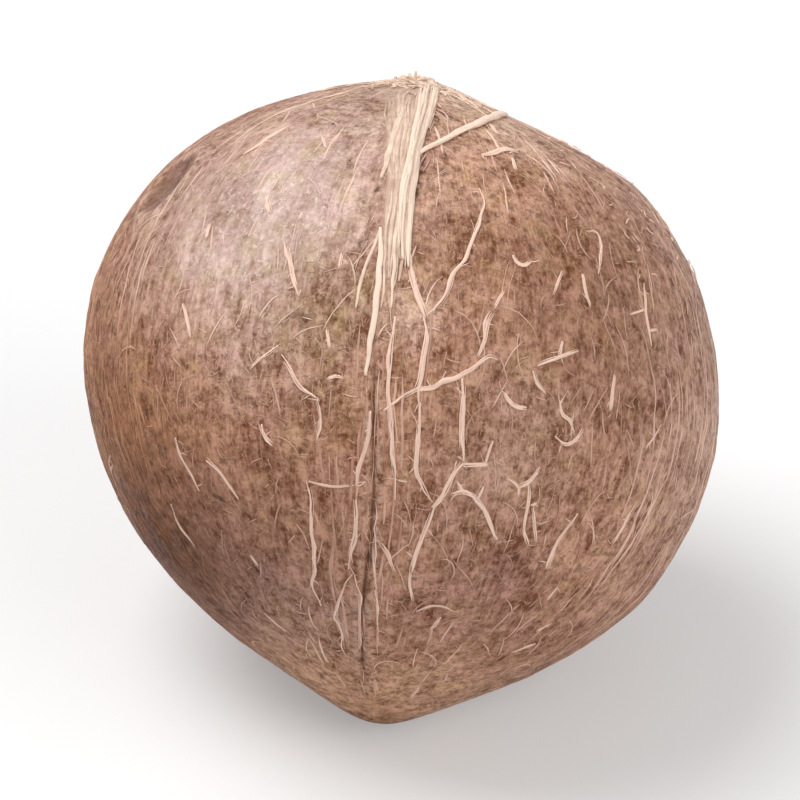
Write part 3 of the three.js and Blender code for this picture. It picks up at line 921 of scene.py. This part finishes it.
class Nodes:
    """A node material and short ways to add nodes to it."""

    def __init__(self, name):
        self.material = bpy.data.materials.new(name)
        self.material.use_nodes = True
        self.tree = self.material.node_tree

    def put(self, socket, value):
        if isinstance(value, bpy.types.NodeSocket):
            self.tree.links.new(value, socket)
        else:
            socket.default_value = value

    def fill(self, node, inputs):
        for key, value in inputs.items():
            self.put(node.inputs[key.replace("_", " ")], value)

    def surface(self, **inputs):
        """Sets inputs of the shader."""
        self.fill(self.tree.nodes["Principled BSDF"], inputs)

    def add(self, kind, settings=None, **inputs):
        node = self.tree.nodes.new(kind)
        for key, value in (settings or {}).items():
            setattr(node, key, value)
        self.fill(node, inputs)
        return node

    def nut_place(self):
        """The place in the nut's own frame, in millimetres."""
        node = self.add("ShaderNodeMapping", {"vector_type": "TEXTURE"}, Scale=(MM, MM, MM))
        node.inputs["Location"].default_value = (0, 0, MIDDLE_HEIGHT * MM)
        node.inputs["Rotation"].default_value = LAY_DOWN.to_euler("XYZ")
        self.put(node.inputs["Vector"], self.add("ShaderNodeTexCoord").outputs["Object"])
        return node.outputs[0]

    def attribute(self, name, output="Fac"):
        return self.add("ShaderNodeAttribute", {"attribute_name": name}).outputs[output]

    def noise(self, vector, scale, detail=2.0, roughness=0.5, distortion=0.0):
        shape = {"Detail": detail, "Roughness": roughness, "Distortion": distortion}
        return self.add("ShaderNodeTexNoise", Vector=vector, Scale=scale, **shape).outputs["Fac"]

    def math(self, operation, *values, kind="ShaderNodeMath"):
        node = self.add(kind, {"operation": operation})
        for index, value in enumerate(values):
            self.put(node.inputs[index], value)
        return node.outputs[0]

    def vector_math(self, operation, *values):
        return self.math(operation, *values, kind="ShaderNodeVectorMath")

    def times(self, a, b):
        return self.math("MULTIPLY", a, b)

    def plus(self, a, b):
        return self.math("ADD", a, b)

    def stretch(self, vector, factors):
        return self.vector_math("MULTIPLY", vector, factors)

    def z_of(self, vector):
        return self.add("ShaderNodeSeparateXYZ", Vector=vector).outputs["Z"]

    def total(self, layers, start=0.0):
        """The sum of layers, each times its weight."""
        for layer, weight in layers:
            start = self.plus(start, self.times(layer, weight))
        return start

    def between(self, value, low, high, start=0.0, end=1.0):
        """Turns low to high into start to end, smoothly and no further."""
        node = self.add("ShaderNodeMapRange", {"interpolation_type": "SMOOTHSTEP"})
        for index, entry in enumerate((value, low, high, start, end)):
            self.put(node.inputs[index], entry)
        return node.outputs[0]

    def mix(self, share, a, b, blend="MIX"):
        node = self.add("ShaderNodeMix", {"data_type": "RGBA", "blend_type": blend})
        for index, value in ((0, share), (6, a), (7, b)):
            self.put(node.inputs[index], value)
        return node.outputs[2]

    def tint(self, colour, shade):
        """A colour times another."""
        return self.mix(1.0, colour, shade, "MULTIPLY")

    def bump(self, height, distance):
        return self.add("ShaderNodeBump", Height=height, Distance=distance).outputs[0]


DARK = (0.115, 0.05, 0.027, 1)
SUTURE_BROWN = (0.16, 0.078, 0.048, 1)
LIP_PALE = (0.66, 0.44, 0.34, 1)
HUSK_PALE = (0.69, 0.485, 0.37, 1)
RIM_PALE = (0.7, 0.5, 0.37, 1)
# These multiply the shell's colour.
OLIVE_TINT = (0.97, 1.0, 0.87, 1)
PINK_TINT = (0.99, 0.95, 1.0, 1)
DARKER = (0.43, 0.295, 0.195, 1)
LIGHTER = (1.56, 1.74, 1.86, 1)
PORE_DARK = (0.4, 0.4, 0.46, 1)
PORE_LIGHT = (0.78, 0.8, 0.88, 1)
PORE_EDGE_SHADE = (0.3, 0.25, 0.26, 1)


def shell_material():
    n = Nodes("woody_shell")
    place = n.nut_place()

    # Grain coordinates: in full around the nut, and drawn out along it, so that streaks run lengthways.
    outwards = n.vector_math("NORMALIZE", n.stretch(place, (1, 1, 0)))
    around = n.stretch(outwards, (MEAN_RADIUS, MEAN_RADIUS, 0))
    grain = n.vector_math("ADD", around, n.stretch(place, (0, 0, 0.2)))

    # Light and dark: clouds, mottling and streaks of several sizes. Less of it on the calm patches.
    # On the point and the knot the streaks give way to crumbs.
    upright = n.between(n.math("ABSOLUTE", n.z_of(place)), 9.8, 7.6)

    def streaks(scale, detail, distortion):
        lengthways = n.noise(grain, scale, detail, 0.6, distortion)
        crumbs = n.noise(place, 1.3 * scale, detail, 0.6, distortion)
        return n.total([(lengthways, upright), (crumbs, n.math("SUBTRACT", 1.0, upright))])

    fine_mottle = n.noise(place, 3.3, 2, 0.55)
    layers = [
        (n.noise(place, 0.5), 0.65),
        (n.noise(place, 1.4), 0.75),
        (fine_mottle, 0.9),
        (streaks(2.6, 3, 0.6), 0.65),
        (streaks(6, 2, 0.4), 0.45),
        (n.noise(place, 8, 1), 0.35),
        (n.noise(grain, 11, 1), 0.3),
    ]
    level = n.total(layers, start=-sum(weight for _, weight in layers) / 2)
    calm = n.attribute("calm")
    soft_streaks = n.between(n.noise(grain, 1.5), 0.3, 0.7, -0.08, 0.08)
    level = n.total([(level, n.between(calm, 0, 1, 1, 0.42)), (soft_streaks, calm)])

    def contour(drawn_out, scale, winding, edges, patch_scale, patch_edges):
        """Thin lines where a noise crosses its middle level, in patches of the shell."""
        field = n.noise(n.stretch(place, (1, 1, drawn_out)), scale, distortion=winding)
        crossing = n.between(n.math("ABSOLUTE", n.math("SUBTRACT", field, 0.5)), *edges)
        return n.times(crossing, n.between(n.noise(place, patch_scale, 1), *patch_edges))

    # Hair-thin pale lines, threads that run along the nut, dark specks and pale flecks.
    line = contour(0.7, 1.7, 1.4, (0.02, 0.004), 1.7, (0.48, 0.6))
    thread = contour(0.35, 3.2, 0.8, (0.03, 0.006), 2.2, (0.45, 0.6))
    where = n.noise(place, 0.5)
    speck = n.times(n.between(n.noise(place, 3, 3, 0.6), 0.43, 0.36), n.between(where, 0.4, 0.62, 0.1, 0.9))
    dot = n.times(n.between(n.noise(place, 5.5, 2, 0.6), 0.39, 0.33), n.between(where, 0.6, 0.4, 0.3, 0.9))
    speck = n.times(n.math("MAXIMUM", speck, dot), n.between(calm, 0, 0.8, 1, 0.15))
    fleck = n.between(n.noise(place, 4.6, 2, 0.6), 0.62, 0.68)

    broad = n.attribute("broad", "Color")
    hue = n.noise(place, 0.85, 2, 0.55, 0.5)
    colour = n.mix(n.between(hue, 0.5, 0.7), broad, n.tint(broad, OLIVE_TINT))
    colour = n.mix(n.between(hue, 0.5, 0.3), colour, n.tint(colour, PINK_TINT))
    darker, lighter = n.tint(colour, DARKER), n.tint(colour, LIGHTER)
    colour = n.mix(n.between(level, 0.05, -0.36), colour, darker)
    colour = n.mix(n.between(level, -0.05, 0.34), colour, lighter)
    pore = n.mix(n.between(n.noise(place, 2.2, 4, 0.65), 0.36, 0.64), PORE_DARK, PORE_LIGHT)
    # painted shade: the outer part of each pore darkened, as in a hollow
    pore = n.mix(n.times(n.attribute("pore_edge"), 0.8), pore, PORE_EDGE_SHADE)
    coats = [  # mask, how much of it shows, colour
        (speck, 0.55, DARK),
        (fleck, 0.45, lighter),
        (line, 0.6, lighter),
        (thread, 0.7, lighter),
        (n.attribute("lips"), n.between(fine_mottle, 0.4, 0.62, 0, 0.75), LIP_PALE),
        (n.attribute("husk"), n.between(level, -0.4, 0.2, 0.45, 0.95), HUSK_PALE),
        (n.attribute("suture"), 0.85, SUTURE_BROWN),
        # painted shadow beside and under the husk, and dark pits
        (n.attribute("painted_shadow_and_pits"), n.between(fine_mottle, 0.36, 0.6, 1, 0.25), DARK),
        (n.attribute("pore"), 1, n.tint(broad, pore)),
        (n.attribute("pore_rim"), n.between(fine_mottle, 0.42, 0.6, 0.1, 0.75), RIM_PALE),
    ]
    for mask, share, coat in coats:
        colour = n.mix(n.times(mask, share), colour, coat)

    relief = [
        (level, 0.9),
        (line, 0.3),
        (speck, -0.3),
        (n.noise(grain, 8, 3, 0.65, 0.5), 0.35),
        (n.noise(place, 10, 2, 0.6), 0.35),
    ]
    n.surface(Base_Color=colour, Normal=n.bump(n.total(relief), 0.09 * MM))
    n.surface(Roughness=n.between(fine_mottle, 0.3, 0.7, 0.68, 0.5), Specular_IOR_Level=0.13)
    n.surface(Sheen_Weight=0.14, Sheen_Roughness=0.2, Sheen_Tint=(0.75, 0.86, 1, 1))
    return n.material


def fibre_material(name, dark, light, follow):
    """A look for strands, with fine lines along them. Follow is how much its colour follows the shell's
    under it."""
    n = Nodes(name)
    strand = n.attribute("strand", "Vector")
    lines = n.noise(n.stretch(strand, (13, 0.9, 40)), 1, 2, 0.6)
    blotches = n.noise(n.nut_place(), 1.6)
    share = n.plus(n.z_of(strand), n.between(lines, 0.3, 0.7, -0.16, 0.12))
    share = n.plus(share, n.between(blotches, 0.3, 0.7, -0.16, 0.1))
    under = n.attribute("under", "Vector")
    pale_under = n.vector_math("MINIMUM", n.stretch(under, (1.9, 2.4, 2.9)), light)
    dark_end = n.mix(follow, (*dark, 1), n.stretch(under, (1.15, 1.22, 1.3)))
    light_end = n.mix(follow, (*light, 1), pale_under)
    n.surface(Base_Color=n.mix(n.between(share, 0, 1), dark_end, light_end))
    n.surface(Roughness=n.between(lines, 0.3, 0.7, 0.75, 0.55), Specular_IOR_Level=0.25)
    n.surface(Normal=n.bump(lines, 0.035 * MM))
    return n.material


def floor_material():
    """A pale floor. Where it is looked at, light of its own lifts it to white, and the shadow stays."""
    n = Nodes("pale_floor")
    grain = n.noise(n.add("ShaderNodeTexCoord").outputs["Object"], 90, 3)
    path = n.add("ShaderNodeLightPath").outputs
    looked_at = n.math("MAXIMUM", path["Is Camera Ray"], path["Is Glossy Ray"])
    looked_at = n.math("MAXIMUM", looked_at, path["Is Transmission Ray"])
    n.surface(Base_Color=n.mix(grain, (0.63, 0.63, 0.63, 1), (0.65, 0.65, 0.65, 1)))
    n.surface(Roughness=0.8, Specular_IOR_Level=0.2)
    n.surface(Emission_Color=(1, 1, 1, 1), Emission_Strength=n.times(looked_at, 0.3))
    return n.material


# ---- stage, lights and camera

def build_floor():
    mesh = bpy.data.meshes.new("floor")
    reach = 1.5
    corners = [(-reach, -reach, 0), (reach, -reach, 0), (reach, reach, 0), (-reach, reach, 0)]
    mesh.from_pydata(corners, [], [(0, 1, 2, 3)])
    floor = bpy.data.objects.new("floor", mesh)
    bpy.context.scene.collection.objects.link(floor)
    floor.data.materials.append(floor_material())


def area_light(name, direction, distance, size, level, target):
    """A square soft light that faces the target, where it lights a white surface to that level."""
    light = bpy.data.lights.new(name, "AREA")
    light.shape = "SQUARE"
    light.size = size
    light.energy = level * (math.pi * distance) ** 2
    lamp = bpy.data.objects.new(name, light)
    lamp.location = target + Vector(direction).normalized() * distance
    lamp.rotation_euler = (target - lamp.location).to_track_quat("-Z", "Y").to_euler()
    bpy.context.scene.collection.objects.link(lamp)


def light_scene(target):
    """A white room, a window at the left and a fill light at the front right."""
    world = bpy.data.worlds.new("white_room")
    world.use_nodes = True
    background = world.node_tree.nodes["Background"]
    background.inputs["Color"].default_value = (1, 1, 1, 1)
    background.inputs["Strength"].default_value = 0.33
    bpy.context.scene.world = world
    area_light("window_left", (-0.44, 0.16, 0.88), distance=0.6, size=0.4, level=0.86, target=target)
    area_light("fill_front_right", (0.66, -0.55, 0.5), distance=0.9, size=0.7, level=0.42, target=target)


def place_camera(target, elevation, distance, width):
    """The camera, in front of the target and above it. Width is what it sees there, in metres."""
    camera = bpy.data.cameras.new("camera")
    camera.sensor_width = 36
    camera.lens = camera.sensor_width * distance / width
    camera.clip_start = 0.01
    eye = bpy.data.objects.new("camera", camera)
    eye.location = target + Vector((0, -math.cos(elevation), math.sin(elevation))) * distance
    eye.rotation_euler = (math.pi / 2 - elevation, 0, 0)
    bpy.context.scene.collection.objects.link(eye)
    bpy.context.scene.camera = eye


# ---- the scene

shell_look = shell_material()
husk_look = fibre_material("husk_fibre", (0.52, 0.32, 0.225), (1.0, 0.785, 0.63), follow=0)
vein_look = fibre_material("vein_fibre", (0.6, 0.39, 0.3), (1.0, 0.71, 0.57), follow=0.15)
hair_look = fibre_material("hair_fibre", (0.5, 0.31, 0.225), (0.95, 0.66, 0.52), follow=1)

shell = build_shell()
shell.data.materials.append(shell_look)
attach(shell, "root")
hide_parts("coquito_nut")

pieces = [
    (build_husk(), husk_look),
    (build_veins(), vein_look),
    (build_threads(), hair_look),
    (build_hairs(), hair_look),
]
for piece, look in pieces:
    piece.data.materials.append(look)
    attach(piece, "root")

middle = Vector((0, 0, MIDDLE_HEIGHT * MM))
build_floor()
light_scene(middle)
place_camera(middle, LEAN_BACK, distance=0.42, width=0.0305)
bpy.context.scene.view_settings.view_transform = "Standard"
